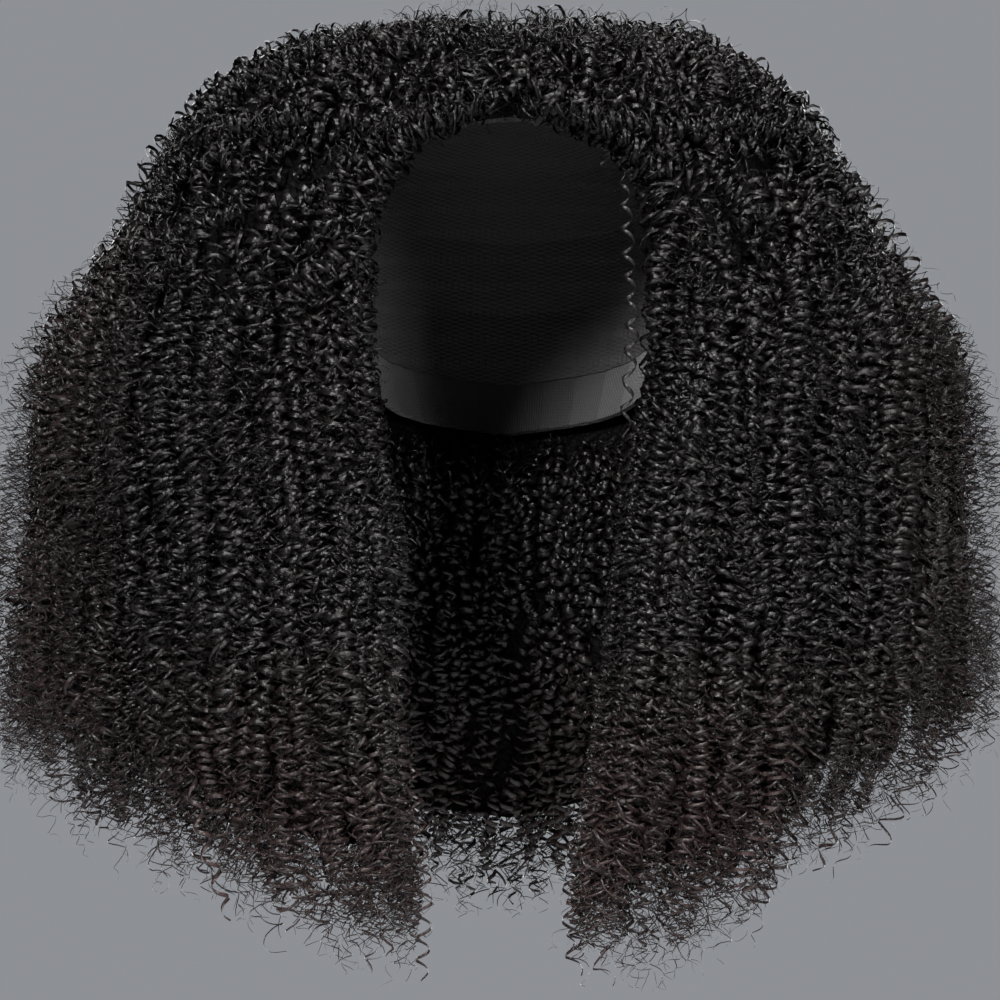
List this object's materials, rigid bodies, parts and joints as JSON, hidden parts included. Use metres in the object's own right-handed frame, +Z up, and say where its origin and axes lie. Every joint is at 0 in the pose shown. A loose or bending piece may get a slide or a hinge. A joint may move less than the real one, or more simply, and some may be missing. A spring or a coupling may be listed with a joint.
{
  "type": "half wig",
  "caption": "Full, shoulder-wide half wig of black kinky curls on a three-quarter stretch cap with a forehead band, open for the face and neck.",
  "frame": {"origin": "inside top of the cap, where the crown of the head touches it", "axes": "+Z up, the wearer's face looks along -Y, +X is to the right of someone facing the wearer"},
  "size_m": [0.442, 0.3091, 0.4012],
  "materials": {
    "hair": "black curled hair with small grey highlights, dark brown at its ends",
    "cap_net": "black stretch net with sewn wefts",
    "elastic_band": "black woven elastic",
    "comb_plastic": "black satin plastic"
  },
  "bodies": {
    "root": {"cap": "cap_net", "front_band": "elastic_band", "nape_band": "elastic_band", "front_comb": "comb_plastic", "crown_curls": "hair", "left_front_curls": "hair", "left_side_curls": "hair", "back_left_curls": "hair", "back_right_curls": "hair", "right_side_curls": "hair", "right_front_curls": "hair"}
  },
  "joints": []
}
